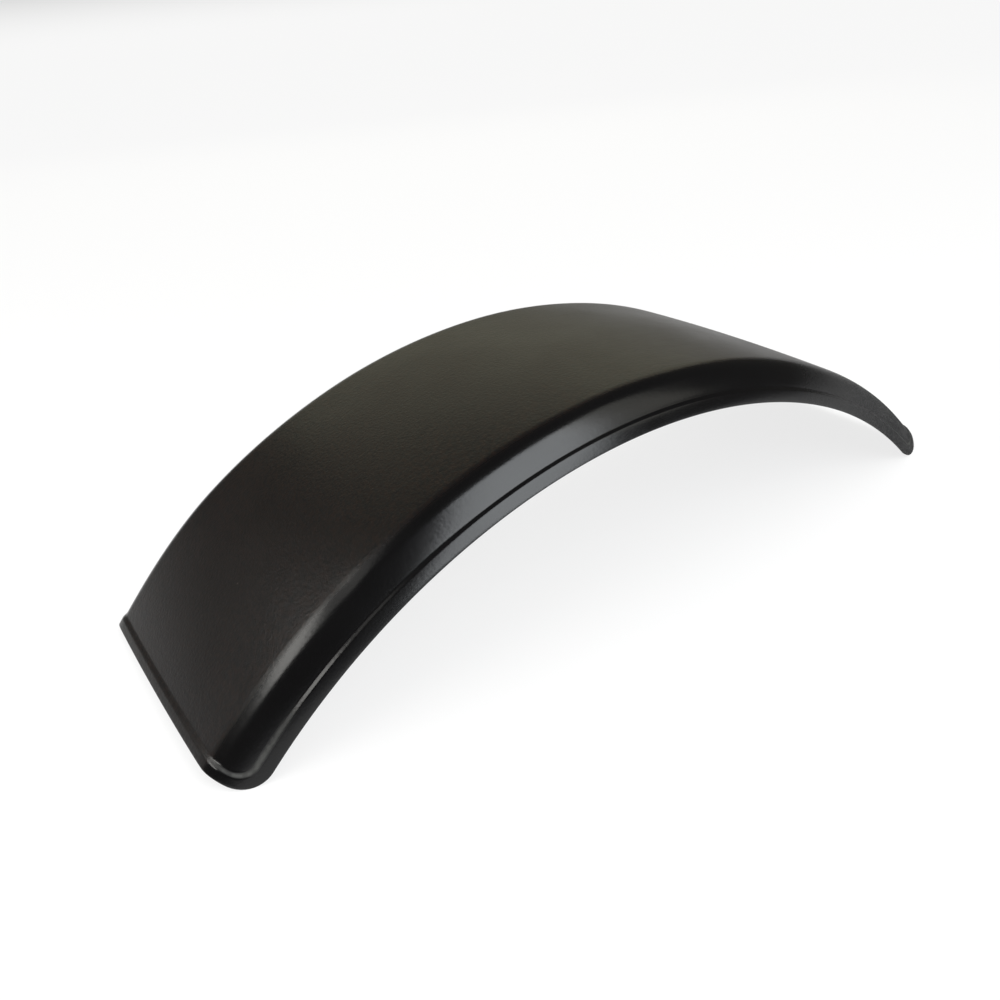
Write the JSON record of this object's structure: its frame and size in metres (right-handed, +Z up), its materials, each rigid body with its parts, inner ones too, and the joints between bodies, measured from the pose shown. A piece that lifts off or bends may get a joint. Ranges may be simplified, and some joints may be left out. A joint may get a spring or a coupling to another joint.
{
  "type": "mudguard",
  "caption": "Arched single-wheel trailer mudguard moulded in black plastic, with round shoulders, sloping skirts and a stepped lip all round.",
  "frame": {"origin": "middle of the floor that the guard stands on with its four lower corners, under the top of the arch", "axes": "+X along the arch, in the direction of travel or against it; +Y across the width, along the axle; +Z up"},
  "size_m": [0.5584, 0.1978, 0.1314],
  "materials": {
    "black_plastic": "satin black moulded polyethylene with a fine grain"
  },
  "bodies": {
    "root": {"mudguard": "black_plastic"}
  },
  "joints": []
}
